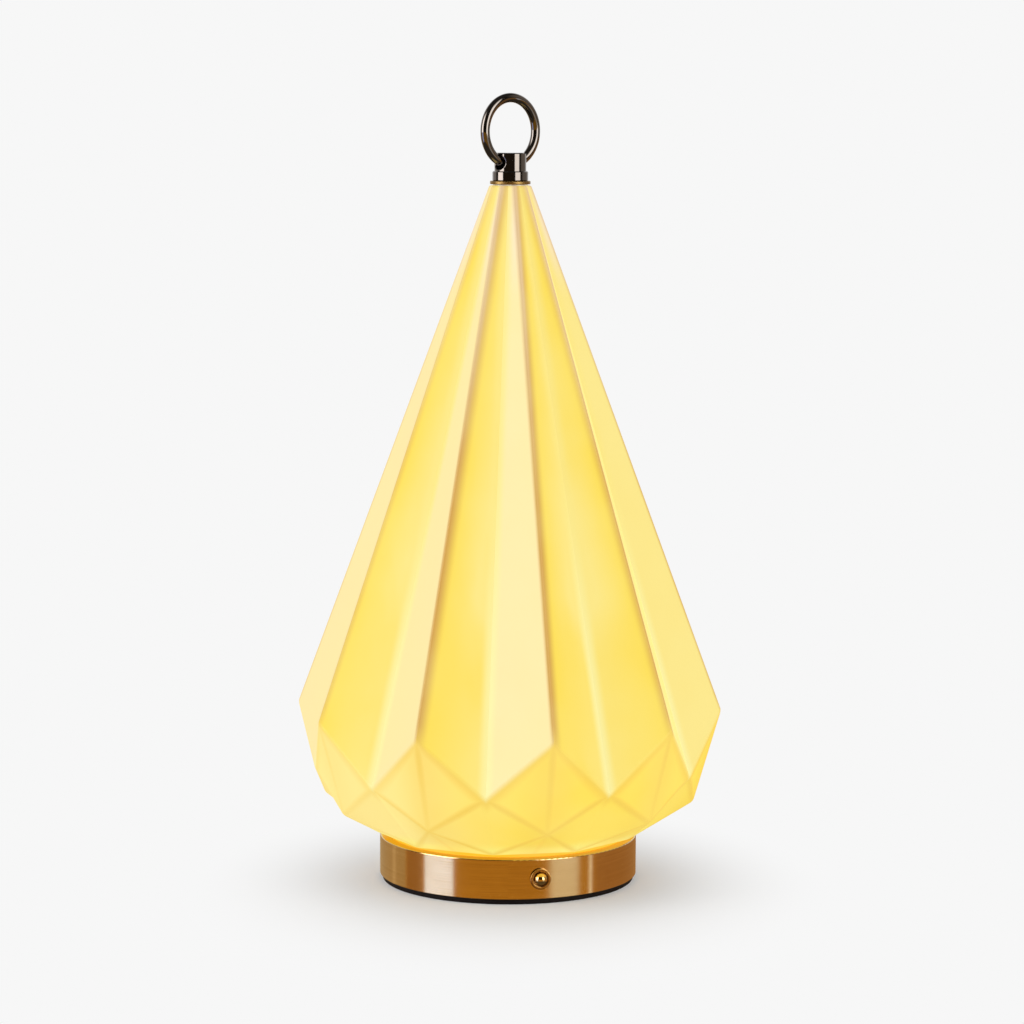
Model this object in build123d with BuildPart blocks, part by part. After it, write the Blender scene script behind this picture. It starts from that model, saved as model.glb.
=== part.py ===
from build123d import *
import os
from math import cos, radians, sin

# A cordless table lamp: a folded bone china shade on a brass drum, millimetres.
# The front of the lamp is -Y and +Z is up. Azimuths run from the front towards +X.
# Driving dimensions of the folded shade
ridge_count = 10
ridge_azimuth = 11.7
crown_height = 258.7
apex_rise = 21.6
girdle_radius = 79.6
girdle_height = 65.4
valley_radius = 73.1
valley_height = 43.9
lower_radius = 69.4
lower_height = 30.3
hem_radius = 49.5
hem_rise = 1.5
shade_foot_radius = 45.5
shade_mouth_radius = 43.0
shade_wall = 2.3
inner_valley_rise = 0.8
crown_thickness = 5.0

# Driving dimensions of the base
foot_radius = 47.0
foot_thickness = 2.0
drum_radius = 48.0
drum_wall = 2.0
drum_height = 14.9
deck_thickness = 2.2
drum_edge_round = 0.5
drum_mouth_chamfer = 0.25
lip_height = 2.0
lip_width = 1.6
lip_clearance = 0.3
plate_thickness = 2.0
plate_clearance = 0.3
plate_boss_radius = 3.5
plate_boss_inset = 8.0
plate_boss_azimuth = 90.0
plate_screw_count = 3
plate_screw_radius = 1.5
plate_screw_head_radius = 2.9
plate_screw_length = 8.0
countersink_angle = 90.0
gasket_thickness = 0.4
gasket_inset = 0.7
thread_clearance = 0.05

# Driving dimensions of the centre rod and its fixings
rod_radius = 4.0
rod_bore_radius = 2.5
rod_clearance = 0.3
rod_top_gap = 1.2
rod_tail = 1.0
nut_width = 12.0
nut_thickness = 3.0
nut_corner_rise = 0.35
lock_washer_radius = 7.5
lock_washer_thickness = 1.0

# Driving dimensions of the hub and the ring
top_washer_radius = 7.45
top_washer_thickness = 1.2
top_washer_edge = 0.3
top_gasket_radius = 6.4
collar_radius = 6.6
collar_height = 3.6
neck_radius = 5.85
neck_height = 6.7
hub_edge = 0.35
cross_bore_radius = 2.65
cross_bore_rise = 3.2
cross_bore_round = 0.45
stud_length = 16.0
ring_radius = 12.15
ring_wire_radius = 1.72
ring_seat_clearance = 0.18
ring_turn = 40.6

# Driving dimensions of the push button
button_azimuth = 14.2
button_height = 9.6
ball_radius = 2.43
ball_stand_off = 0.6
button_travel = 1.0
stem_radius = 1.2
stem_clearance = 0.08
bezel_radius = 3.87
bezel_proud = 1.0
bezel_edge = 0.3
bezel_shank_radius = 3.2
bezel_cup_clearance = 0.3
bezel_web = 1.2
press_clearance = 0.02
clip_radius = 2.3
clip_thickness = 0.6
clip_gap = 0.1
clip_to_switch = 3.5

# Driving dimensions of the electronics
board_height = 6.0
board_thickness = 1.6
board_clearance = 1.5
board_hole_radius = 10.0
board_edge = -5.0
board_boss_radius = 2.75
board_screw_radius = 1.25
board_screw_head_radius = 2.3
board_screw_head_height = 1.2
board_screw_length = 6.0
board_screw_azimuths = (59.0, 121.0)
board_screw_inset = 9.5
front_screw_inset = 18.5
part_clearance = 1.0
switch_width = 6.2
switch_depth = 4.5
switch_body_height = 4.4
plunger_radius = 1.6
plunger_length = 2.5
plunger_engaged = 1.0
plunger_clearance = 0.1
socket_azimuth = 165.8
socket_width = 8.94
socket_thickness = 3.2
socket_length = 7.3
socket_wall = 0.3
socket_setback = 0.8
socket_clearance = 0.3
tongue_width = 6.7
tongue_thickness = 0.7
tongue_length = 4.6
socket_block_length = 1.6
battery_thickness = 8.0
battery_boss_gap = 2.4
battery_corner_gap = 1.0
battery_edge_radius = 1.5
battery_gap = 10.0
pad_thickness = 0.4
pad_inset = 3.0
plug_length = 4.5
plug_width = 6.0
plug_thickness = 4.0
header_length = 6.0
lead_radius = 0.6
lead_pitch = 2.0
battery_lead_inset = 11.0
battery_lead_shift = 2.5

# Driving dimensions of the light source
led_board_clearance = 1.0
led_board_hole_radius = 15.0
led_board_thickness = 1.6
led_count = 12
led_inset = 8.0
led_width = 3.5
led_length = 2.8
led_thickness = 0.8
led_screw_count = 3
led_screw_inset = 3.5
led_screw_azimuth = 30.0
dome_wall = 2.0
dome_wall_height = 30.0
dome_crown_rise = 18.0
dome_flange_clearance = 1.57
dome_flange_width = 8.0
dome_flange_thickness = 2.0
grommet_circle = 11.0
grommet_azimuth = 90.0
grommet_radius = 2.4
grommet_flange_radius = 3.3
grommet_flange_thickness = 0.8
grommet_bore_radius = 1.6
led_lead_pitch = 1.4
led_lead_bend = 1.5
led_lead_rise = 4.0
led_lead_reach = 6.0

# Heights and radii that follow from the driving dimensions
deck_top = foot_thickness + drum_height
deck_under = deck_top - deck_thickness
drum_bore = drum_radius - drum_wall
wall_cut = 3 * drum_wall
plate_top = foot_thickness + plate_thickness
plate_boss_circle = drum_bore - plate_boss_inset
board_radius = drum_bore - board_clearance
shade_foot = deck_top + gasket_thickness
hem_height = shade_foot + hem_rise
apex_height = crown_height + apex_rise
board_top = board_height + board_thickness
washer_bottom = crown_height + gasket_thickness
hub_bottom = washer_bottom + top_washer_thickness
neck_bottom = hub_bottom + collar_height
cross_bore_height = neck_bottom + cross_bore_rise
ring_low_point = cross_bore_height - cross_bore_radius + ring_seat_clearance
ring_centre = ring_low_point + ring_wire_radius + ring_radius
rod_top = crown_height - rod_top_gap
rod_bottom = deck_under - lock_washer_thickness - nut_thickness - rod_tail
battery_bottom = plate_top + pad_thickness
led_board_top = deck_top + led_board_thickness
half_pitch = 180 / ridge_count
quarter_turn = 90
foot_flat = cos(radians(half_pitch / 2))
rod_hole = rod_radius + rod_clearance
lip_radius = shade_mouth_radius * foot_flat - lip_clearance
dome_flange_radius = lip_radius - lip_width - dome_flange_clearance
dome_radius = dome_flange_radius - dome_flange_width
dome_inner = dome_radius - dome_wall
dome_screw_circle = (dome_flange_radius + dome_radius) / 2
led_board_radius = dome_inner - led_board_clearance
led_screw_circle = led_board_radius - led_screw_inset
led_circle = led_board_radius - led_inset

os.makedirs("parts", exist_ok=True)


def at_azimuth(radius, azimuth, height=0.0):
    """Point at a radius and azimuth from the front, at a height."""
    turn = radians(azimuth)
    return (radius * sin(turn), -radius * cos(turn), height)


def spaced(radius, azimuth, count):
    """Evenly spaced places on a circle, the first at an azimuth."""
    return [at_azimuth(radius, azimuth + turn * 360 / count)[:2] for turn in range(count)]


def radial_plane(azimuth, height):
    """Plane on the lamp's axis: its normal points out at an azimuth and its y axis up."""
    sideways = Vector(*at_azimuth(1, azimuth + quarter_turn))
    return Plane(origin=(0, 0, height), x_dir=sideways, z_dir=Vector(*at_azimuth(1, azimuth)))


def save(builder, name):
    """Label a finished piece and write it."""
    builder.part.label = name
    export_step(builder.part, f"parts/{name}.step")


# Shade: every upper facet lies on a plane through one apex on the axis, so it is flat.
# One ridge with the half valleys beside it is a convex wedge, repeated around the axis.
def taper(radius, height, apex):
    """Radius per unit of height on a straight fold that runs to the apex."""
    return radius / (apex - height)


ridge_taper = taper(girdle_radius, girdle_height, apex_height)
valley_taper = taper(valley_radius, valley_height, apex_height)


def facet_slope():
    """Share of the facet's normal that lies along the axis."""
    across = valley_taper * cos(radians(half_pitch))
    along = valley_taper * sin(radians(half_pitch))
    normal = Vector(along, ridge_taper - across, ridge_taper * along)
    return normal.Z / normal.length


def wedge(apex, top, girdle_z, valley_z, lower, hem, foot, floor):
    """Points of one wedge of the folded form, outer or inner."""
    left, right, middle = ridge_azimuth - half_pitch, ridge_azimuth + half_pitch, ridge_azimuth
    rings = [
        (ridge_taper * (apex - top), middle, top),
        (ridge_taper * (apex - girdle_z), middle, girdle_z),
        (lower[0], middle, lower[1]),
        (foot[0], middle, foot[1]),
        (foot[0], middle, floor),
    ]
    for side in (left, right):
        rings += [
            (valley_taper * (apex - top), side, top),
            (valley_taper * (apex - valley_z), side, valley_z),
            (hem[0], side, hem[1]),
            (foot[0], side, foot[1]),
            (foot[0], side, floor),
        ]
    points = [at_azimuth(radius, azimuth, height) for radius, azimuth, height in rings]
    return points + [(0, 0, top), (0, 0, floor)]


outer_wedge = wedge(
    apex_height,
    crown_height,
    girdle_height,
    valley_height,
    (lower_radius, lower_height),
    (hem_radius, hem_height),
    (shade_foot_radius, shade_foot),
    shade_foot,
)
inner_wedge = wedge(
    apex_height - shade_wall / facet_slope(),
    crown_height - crown_thickness,
    girdle_height,
    valley_height + inner_valley_rise,
    (lower_radius - shade_wall, lower_height + shade_wall),
    (hem_radius - shade_wall, hem_height + shade_wall),
    (shade_mouth_radius, shade_foot + shade_wall),
    shade_foot - shade_wall,
)

with BuildPart() as shade_core:
    with PolarLocations(0, ridge_count):
        ConvexPolyhedron(inner_wedge)

with BuildPart() as shade:
    with PolarLocations(0, ridge_count):
        ConvexPolyhedron(outer_wedge)
    add(shade_core.part, mode=Mode.SUBTRACT)
    with BuildSketch(Plane.XY.offset(crown_height)):
        Circle(rod_hole)
    extrude(amount=-2 * crown_thickness, mode=Mode.SUBTRACT)
save(shade, "shade")

# Base drum: a turned brass cup, mouth down, with cast bosses under its deck.
plate_boss_places = spaced(plate_boss_circle, plate_boss_azimuth, plate_screw_count)
led_screw_places = spaced(led_screw_circle, led_screw_azimuth, led_screw_count)
dome_screw_places = spaced(dome_screw_circle, led_screw_azimuth, led_screw_count)
board_screw_places = [
    at_azimuth(board_radius - board_screw_inset, azimuth)[:2] for azimuth in board_screw_azimuths
] + [(0, front_screw_inset - board_radius)]
grommet_place = at_azimuth(grommet_circle, grommet_azimuth)[:2]
socket_centre = board_top + socket_thickness / 2
button_axis = radial_plane(button_azimuth, button_height)
socket_axis = radial_plane(socket_azimuth, socket_centre)


with BuildPart() as base_drum:
    with BuildSketch(Plane.XY.offset(foot_thickness)):
        Circle(drum_radius)
    extrude(amount=drum_height)
    fillet(base_drum.edges().group_by(Axis.Z)[-1], drum_edge_round)
    chamfer(base_drum.edges().group_by(Axis.Z)[0], drum_mouth_chamfer)
    with BuildSketch(Plane.XY.offset(deck_top)):
        Circle(lip_radius)
        Circle(lip_radius - lip_width, mode=Mode.SUBTRACT)
    extrude(amount=lip_height)
    with BuildSketch(Plane.XY.offset(foot_thickness)):
        Circle(drum_bore)
    extrude(amount=drum_height - deck_thickness, mode=Mode.SUBTRACT)
    with BuildSketch(Plane.XY.offset(plate_top)):
        with Locations(*plate_boss_places):
            Circle(plate_boss_radius)
    extrude(amount=deck_under - plate_top)
    with BuildSketch(Plane.XY.offset(board_top)):
        with Locations(*board_screw_places):
            Circle(board_boss_radius)
    extrude(amount=deck_under - board_top)
    with BuildSketch(Plane.XY.offset(plate_top)):
        with Locations(*plate_boss_places):
            Circle(plate_screw_radius + thread_clearance)
    extrude(amount=plate_screw_length, mode=Mode.SUBTRACT)
    with BuildSketch(Plane.XY.offset(board_top)):
        with Locations(*board_screw_places):
            Circle(board_screw_radius + thread_clearance)
    extrude(amount=board_screw_length, mode=Mode.SUBTRACT)
    with BuildSketch(Plane.XY.offset(deck_under)):
        Circle(rod_hole)
        with Locations(grommet_place):
            Circle(grommet_radius)
        with Locations(*led_screw_places, *dome_screw_places):
            Circle(board_screw_radius + thread_clearance)
    extrude(amount=deck_thickness, mode=Mode.SUBTRACT)
    with BuildSketch(button_axis.offset(drum_bore - drum_wall)):
        Circle(bezel_shank_radius + press_clearance)
    extrude(amount=wall_cut, mode=Mode.SUBTRACT)
    with BuildSketch(socket_axis.offset(drum_bore - drum_wall)):
        RectangleRounded(
            socket_width + 2 * socket_clearance,
            socket_thickness + 2 * socket_clearance,
            socket_thickness / 2,
        )
    extrude(amount=wall_cut, mode=Mode.SUBTRACT)
save(base_drum, "base_drum")

# Base plate and foot: a steel ballast plate screwed up into the bosses, over a rubber pad.
with BuildPart() as base_plate:
    with BuildSketch(Plane.XY.offset(foot_thickness)):
        Circle(drum_bore - plate_clearance)
    extrude(amount=plate_thickness)
    with Locations(-Plane.XY.offset(foot_thickness)):
        with Locations(*[(x, -y) for x, y in plate_boss_places]):
            CounterSinkHole(
                plate_screw_radius + thread_clearance,
                plate_screw_head_radius + thread_clearance,
                counter_sink_angle=countersink_angle,
            )
save(base_plate, "base_plate")

with BuildPart() as plate_screws:
    with BuildSketch(Plane.XY.offset(foot_thickness)):
        with Locations(*plate_boss_places):
            Circle(plate_screw_radius)
    extrude(amount=plate_screw_length)
    for place in plate_boss_places:
        with BuildSketch(Plane.XY.offset(foot_thickness)):
            with Locations(place):
                Circle(plate_screw_head_radius)
        extrude(amount=plate_screw_head_radius - plate_screw_radius, taper=countersink_angle / 2)
save(plate_screws, "plate_screws")

with BuildPart() as foot_pad:
    with BuildSketch():
        Circle(foot_radius)
    extrude(amount=foot_thickness)
    fillet(foot_pad.edges().group_by(Axis.Z)[0], drum_edge_round)
save(foot_pad, "foot_pad")

# Shade seats: a soft ring under the shade's foot and a soft washer on its crown.
with BuildPart() as shade_gasket:
    with BuildSketch(Plane.XY.offset(deck_top)):
        Circle(shade_foot_radius * foot_flat - gasket_inset)
        Circle(shade_mouth_radius, mode=Mode.SUBTRACT)
    extrude(amount=gasket_thickness)
save(shade_gasket, "shade_gasket")

with BuildPart() as top_gasket:
    with BuildSketch(Plane.XY.offset(crown_height)):
        Circle(top_gasket_radius)
        Circle(rod_hole, mode=Mode.SUBTRACT)
    extrude(amount=gasket_thickness)
save(top_gasket, "top_gasket")

# Centre rod: a hollow threaded rod clamped to the deck by two nuts and a lock washer.
with BuildPart() as centre_rod:
    with BuildSketch(Plane.XY.offset(rod_bottom)):
        Circle(rod_radius)
        Circle(rod_bore_radius, mode=Mode.SUBTRACT)
    extrude(amount=rod_top - rod_bottom)
    chamfer(centre_rod.edges().group_by(Axis.Z)[-1], hub_edge)
save(centre_rod, "centre_rod")


def rod_nut(name, height):
    """Thin hexagon nut on the rod, standing on a height."""
    with BuildPart() as nut:
        with BuildSketch(Plane.XY.offset(height)):
            RegularPolygon(nut_width / 2, 6, major_radius=False)
            Circle(rod_radius + thread_clearance, mode=Mode.SUBTRACT)
        extrude(amount=nut_thickness)
        with BuildSketch(Plane.XY.offset(height)):
            Circle(nut_width / 2 + nut_corner_rise)
        extrude(amount=nut_thickness, mode=Mode.INTERSECT)
    save(nut, name)


rod_nut("upper_rod_nut", deck_top)
rod_nut("lower_rod_nut", deck_under - lock_washer_thickness - nut_thickness)

with BuildPart() as lock_washer:
    with BuildSketch(Plane.XY.offset(deck_under - lock_washer_thickness)):
        Circle(lock_washer_radius)
        Circle(rod_radius + thread_clearance, mode=Mode.SUBTRACT)
    extrude(amount=lock_washer_thickness)
save(lock_washer, "lock_washer")

# Top fittings: the washer, and the hub whose stud screws into the rod and clamps the shade.
with BuildPart() as top_washer:
    with BuildSketch(Plane.XY.offset(washer_bottom)):
        Circle(top_washer_radius)
        Circle(rod_hole, mode=Mode.SUBTRACT)
    extrude(amount=top_washer_thickness)
    outer_rims = top_washer.edges().filter_by(GeomType.CIRCLE).sort_by(SortBy.RADIUS)[-2:]
    fillet(outer_rims, top_washer_edge)
save(top_washer, "top_washer")

# The cross bore lies in the plane of the ring, which stands turned about the vertical.
ring_line = Vector(cos(radians(ring_turn)), sin(radians(ring_turn)), 0)
bore_plane = Plane(origin=(0, 0, cross_bore_height), x_dir=(0, 0, 1), z_dir=ring_line)

with BuildPart() as top_hub:
    with BuildSketch(Plane.XY.offset(hub_bottom)):
        Circle(collar_radius)
    extrude(amount=collar_height)
    chamfer(top_hub.edges().filter_by(GeomType.CIRCLE), hub_edge)
    with BuildSketch(Plane.XY.offset(hub_bottom + collar_height / 2)):
        Circle(neck_radius)
    extrude(amount=collar_height / 2 + neck_height)
    chamfer(top_hub.edges().group_by(Axis.Z)[-1], hub_edge)
    with BuildSketch(bore_plane):
        Circle(cross_bore_radius)
    extrude(amount=neck_radius + hub_edge, both=True, mode=Mode.SUBTRACT)
    plain_edges = (GeomType.CIRCLE, GeomType.LINE)
    bore_mouths = top_hub.edges().filter_by(lambda edge: edge.geom_type not in plain_edges)
    fillet(bore_mouths, cross_bore_round)
    with BuildSketch(Plane.XY.offset(hub_bottom + hub_edge)):
        Circle(rod_bore_radius - thread_clearance)
    extrude(amount=-stud_length)
save(top_hub, "top_hub")

# Carry ring: a closed round ring that swings in the cross bore.
ring_facing = ring_line.cross(Vector(0, 0, 1))
ring_plane = Plane(origin=(0, 0, ring_centre), x_dir=ring_line, z_dir=ring_facing)
with BuildPart() as carry_ring:
    with Locations(ring_plane):
        Torus(ring_radius, ring_wire_radius)
save(carry_ring, "carry_ring")

# Push button: a turned ball on a stem, sliding in a cupped bezel in the drum's wall.
ball_centre = drum_radius + ball_stand_off
cup_radius = ball_radius + bezel_cup_clearance
cup_floor = ball_centre - ball_radius - button_travel - bezel_cup_clearance
bezel_end = cup_floor - bezel_web
bezel_face = drum_radius + bezel_proud
clip_face = bezel_end - clip_gap
stem_end = clip_face - clip_thickness - clip_to_switch
switch_face = stem_end - plunger_length + plunger_engaged

with BuildPart() as button_bezel:
    with BuildSketch(button_axis.offset(drum_bore)):
        Circle(bezel_radius)
    extrude(amount=bezel_face - drum_bore)
    with BuildSketch():
        Circle(drum_radius)
    extrude(amount=deck_top, mode=Mode.SUBTRACT)
    with BuildSketch(button_axis.offset(bezel_end)):
        Circle(bezel_shank_radius)
    extrude(amount=drum_radius - bezel_end)
    with BuildSketch(button_axis.offset(cup_floor)):
        Circle(cup_radius)
    extrude(amount=bezel_face - cup_floor, mode=Mode.SUBTRACT)
    with BuildSketch(button_axis.offset(bezel_end)):
        Circle(stem_radius + stem_clearance)
    extrude(amount=bezel_web, mode=Mode.SUBTRACT)
    outer_face = button_bezel.faces().filter_by(GeomType.PLANE).sort_by(
        lambda face: face.center().dot(button_axis.z_dir)
    )[-1]
    fillet(outer_face.edges(), bezel_edge)
save(button_bezel, "button_bezel")

with BuildPart() as push_button:
    with Locations(button_axis.offset(ball_centre)):
        Sphere(ball_radius)
    with BuildSketch(button_axis.offset(stem_end)):
        Circle(stem_radius)
    extrude(amount=ball_centre - stem_end)
save(push_button, "push_button")

with BuildPart() as button_clip:
    with BuildSketch(button_axis.offset(clip_face - clip_thickness)):
        Circle(clip_radius)
        Circle(stem_radius, mode=Mode.SUBTRACT)
    extrude(amount=clip_thickness)
save(button_clip, "button_clip")

# Switch behind the button: a right angle push switch with a moving plunger.
with BuildPart() as switch_plunger:
    with BuildSketch(button_axis.offset(stem_end - plunger_length)):
        Circle(plunger_radius)
    extrude(amount=plunger_length)
save(switch_plunger, "switch_plunger")

with BuildPart() as switch_body:
    with BuildSketch(button_axis.offset(switch_face)):
        with Locations((0, board_top + switch_body_height / 2 - button_height)):
            Rectangle(switch_width, switch_body_height)
    extrude(amount=-switch_depth)
    with BuildSketch(button_axis.offset(switch_face)):
        Circle(plunger_radius + plunger_clearance)
    extrude(amount=-(plunger_engaged + button_travel + plunger_clearance), mode=Mode.SUBTRACT)
save(switch_body, "switch_body")

# Control board: a half disc hung under the deck, cut away round the rod, boss and button.
button_notch = 2 * (bezel_shank_radius + part_clearance)
with BuildPart() as control_board:
    with BuildSketch(Plane.XY.offset(board_height)):
        Circle(board_radius)
        with Locations((board_edge - board_radius, 0)):
            Rectangle(2 * board_radius, 2 * board_radius, mode=Mode.SUBTRACT)
        Circle(board_hole_radius, mode=Mode.SUBTRACT)
        with Locations(*plate_boss_places):
            Circle(plate_boss_radius + part_clearance, mode=Mode.SUBTRACT)
        with Locations(*board_screw_places):
            Circle(board_screw_radius + thread_clearance, mode=Mode.SUBTRACT)
    extrude(amount=board_thickness)
    with BuildSketch(button_axis.offset(switch_face + plunger_length)):
        Rectangle(button_notch, button_notch)
    extrude(amount=drum_bore - switch_face, mode=Mode.SUBTRACT)
save(control_board, "control_board")

with BuildPart() as board_screws:
    with BuildSketch(Plane.XY.offset(board_height - board_screw_head_height)):
        with Locations(*board_screw_places):
            Circle(board_screw_head_radius)
    extrude(amount=board_screw_head_height)
    with BuildSketch(Plane.XY.offset(board_height)):
        with Locations(*board_screw_places):
            Circle(board_screw_radius)
    extrude(amount=board_screw_length)
save(board_screws, "board_screws")

chip_sizes = {
    "controller": (20.0, -3.0, 7.0, 7.0, 1.2),
    "charger": (24.0, 24.0, 4.0, 4.0, 1.0),
    "inductor": (13.0, 25.0, 5.0, 5.0, 3.0),
    "driver": (16.0, 9.0, 4.0, 4.0, 1.0),
    "input_capacitor": (18.0, 33.0, 3.2, 1.6, 1.4),
    "output_capacitor": (24.0, 12.0, 1.6, 3.2, 1.4),
}
with BuildPart() as board_chips:
    for x, y, width, depth, thickness in chip_sizes.values():
        with BuildSketch(Plane.XY.offset(board_top)):
            with Locations((x, y)):
                Rectangle(width, depth)
        extrude(amount=thickness)
save(board_chips, "board_chips")

# Charging socket at the back: a drawn shell with a moulded tongue, set in the drum's slot.
socket_mouth = drum_radius - socket_setback
with BuildPart() as charge_socket:
    with BuildSketch(socket_axis.offset(socket_mouth)):
        RectangleRounded(socket_width, socket_thickness, socket_thickness / 2 - thread_clearance)
        RectangleRounded(
            socket_width - 2 * socket_wall,
            socket_thickness - 2 * socket_wall,
            socket_thickness / 2 - socket_wall - thread_clearance,
            mode=Mode.SUBTRACT,
        )
    extrude(amount=-socket_length)
save(charge_socket, "charge_socket")

with BuildPart() as socket_tongue:
    with BuildSketch(socket_axis.offset(socket_mouth - socket_length)):
        RectangleRounded(
            socket_width - 2 * socket_wall,
            socket_thickness - 2 * socket_wall,
            socket_thickness / 2 - socket_wall - thread_clearance,
        )
    extrude(amount=socket_block_length)
    with BuildSketch(socket_axis.offset(socket_mouth - socket_length)):
        Rectangle(tongue_width, tongue_thickness)
    extrude(amount=socket_block_length + tongue_length)
save(socket_tongue, "socket_tongue")

# Battery: a flat pouch cell on a foam pad, with a plugged lead to the board.
boss_y = abs(plate_boss_places[1][1])
battery_length = 2 * (boss_y - plate_boss_radius - battery_boss_gap)
battery_reach = ((drum_bore - battery_corner_gap) ** 2 - battery_length**2 / 4) ** 0.5
battery_width = battery_reach - battery_gap
battery_x = -battery_gap - battery_width / 2
battery_lead_y = battery_lead_inset - battery_length / 2
with BuildPart() as battery_pack:
    with BuildSketch(Plane.XY.offset(battery_bottom)):
        with Locations((battery_x, 0)):
            Rectangle(battery_width, battery_length)
    extrude(amount=battery_thickness)
    fillet(battery_pack.edges().filter_by(Axis.Y), battery_edge_radius)
save(battery_pack, "battery_pack")

with BuildPart() as battery_pad:
    with BuildSketch(Plane.XY.offset(plate_top)):
        with Locations((battery_x, 0)):
            Rectangle(battery_width - 2 * pad_inset, battery_length - 2 * pad_inset)
    extrude(amount=pad_thickness)
save(battery_pad, "battery_pad")

plug_y = battery_lead_y - battery_lead_shift
plug_x = board_edge + part_clearance
plug_centre = board_top + plug_thickness / 2
with BuildPart() as battery_plug:
    with BuildSketch(Plane.XY.offset(board_top)):
        with Locations((plug_x + plug_length / 2, plug_y)):
            Rectangle(plug_length, plug_width)
    extrude(amount=plug_thickness)
save(battery_plug, "battery_plug")

with BuildPart() as battery_header:
    with BuildSketch(Plane.XY.offset(board_top)):
        with Locations((plug_x + plug_length + header_length / 2, plug_y)):
            Rectangle(header_length, plug_width + part_clearance)
    extrude(amount=plug_thickness + part_clearance / 2)
save(battery_header, "battery_header")

battery_face = -battery_gap
with BuildPart() as battery_lead:
    for side in (-1, 1):
        start_y = battery_lead_y + side * lead_pitch / 2
        end_y = plug_y + side * lead_pitch / 2
        run = (plug_x - battery_face) / 3
        with BuildLine():
            FilletPolyline(
                (battery_face, start_y, plug_centre),
                (battery_face + run, start_y, plug_centre),
                (plug_x - run, end_y, plug_centre),
                (plug_x, end_y, plug_centre),
                radius=run,
            )
        with BuildSketch(Plane(origin=(battery_face, start_y, plug_centre), z_dir=(1, 0, 0))):
            Circle(lead_radius)
        sweep()
save(battery_lead, "battery_lead")

# Light source: a ring of chips on an aluminium board under an opal dome round the rod.
with BuildPart() as led_board:
    with BuildSketch(Plane.XY.offset(deck_top)):
        Circle(led_board_radius)
        Circle(led_board_hole_radius, mode=Mode.SUBTRACT)
        with Locations(*led_screw_places):
            Circle(board_screw_radius + thread_clearance, mode=Mode.SUBTRACT)
    extrude(amount=led_board_thickness)
save(led_board, "led_board")

with BuildPart() as led_chips:
    with BuildSketch(Plane.XY.offset(led_board_top)):
        with PolarLocations(led_circle, led_count):
            Rectangle(led_length, led_width)
    extrude(amount=led_thickness)
save(led_chips, "led_chips")


def pan_screws(name, places, seat):
    """Small pan head screws driven down into the deck from a seat height."""
    with BuildPart() as screws:
        with BuildSketch(Plane.XY.offset(seat)):
            with Locations(*places):
                Circle(board_screw_head_radius)
        extrude(amount=board_screw_head_height)
        with BuildSketch(Plane.XY.offset(seat)):
            with Locations(*places):
                Circle(board_screw_radius)
        extrude(amount=deck_under - seat)
    save(screws, name)


pan_screws("led_screws", led_screw_places, led_board_top)
pan_screws("dome_screws", dome_screw_places, deck_top + dome_flange_thickness)

dome_shoulder = deck_top + dome_wall_height
dome_top = dome_shoulder + dome_crown_rise
with BuildPart() as led_dome:
    with BuildSketch(Plane.XZ):
        with BuildLine():
            Polyline(
                (rod_hole, dome_top - dome_wall),
                (rod_hole, dome_top),
            )
            EllipticalCenterArc(
                (rod_hole, dome_shoulder),
                dome_radius - rod_hole,
                dome_crown_rise,
                start_angle=0,
                arc_size=quarter_turn,
            )
            Polyline(
                (dome_radius, dome_shoulder),
                (dome_radius, deck_top + dome_flange_thickness),
                (dome_flange_radius, deck_top + dome_flange_thickness),
                (dome_flange_radius, deck_top),
                (dome_inner, deck_top),
                (dome_inner, dome_shoulder),
            )
            EllipticalCenterArc(
                (rod_hole, dome_shoulder),
                dome_inner - rod_hole,
                dome_crown_rise - dome_wall,
                start_angle=0,
                arc_size=quarter_turn,
            )
        make_face()
    revolve(axis=Axis.Z)
    with BuildSketch(Plane.XY.offset(deck_top)):
        with Locations(*dome_screw_places):
            Circle(board_screw_radius + thread_clearance)
    extrude(amount=dome_flange_thickness, mode=Mode.SUBTRACT)
save(led_dome, "led_dome")

# Light lead: two wires rise from the control board through a grommet to the light board.
with BuildPart() as lead_grommet:
    with BuildSketch(Plane.XY.offset(deck_under)):
        with Locations(grommet_place):
            Circle(grommet_radius - press_clearance)
    extrude(amount=deck_thickness)
    for seat, rise in ((deck_top, grommet_flange_thickness), (deck_under, -grommet_flange_thickness)):
        with BuildSketch(Plane.XY.offset(seat)):
            with Locations(grommet_place):
                Circle(grommet_flange_radius)
        extrude(amount=rise)
    with BuildSketch(Plane.XY.offset(deck_under - grommet_flange_thickness)):
        with Locations(grommet_place):
            Circle(grommet_bore_radius)
    extrude(amount=deck_thickness + 2 * grommet_flange_thickness, mode=Mode.SUBTRACT)
save(lead_grommet, "lead_grommet")

with BuildPart() as led_lead:
    for side in (-1, 1):
        lead_x = grommet_place[0]
        lead_y = grommet_place[1] + side * led_lead_pitch / 2
        top = led_board_top + led_lead_rise
        with BuildLine():
            FilletPolyline(
                (lead_x, lead_y, board_top),
                (lead_x, lead_y, top),
                (lead_x + led_lead_reach, lead_y, top),
                (lead_x + led_lead_reach, lead_y, led_board_top),
                radius=led_lead_bend,
            )
        with BuildSketch(Plane.XY.offset(board_top)):
            with Locations((lead_x, lead_y)):
                Circle(lead_radius)
        sweep()
save(led_lead, "led_lead")
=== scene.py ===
import math

import bmesh
import bpy
from mathutils import Matrix, Vector


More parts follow.
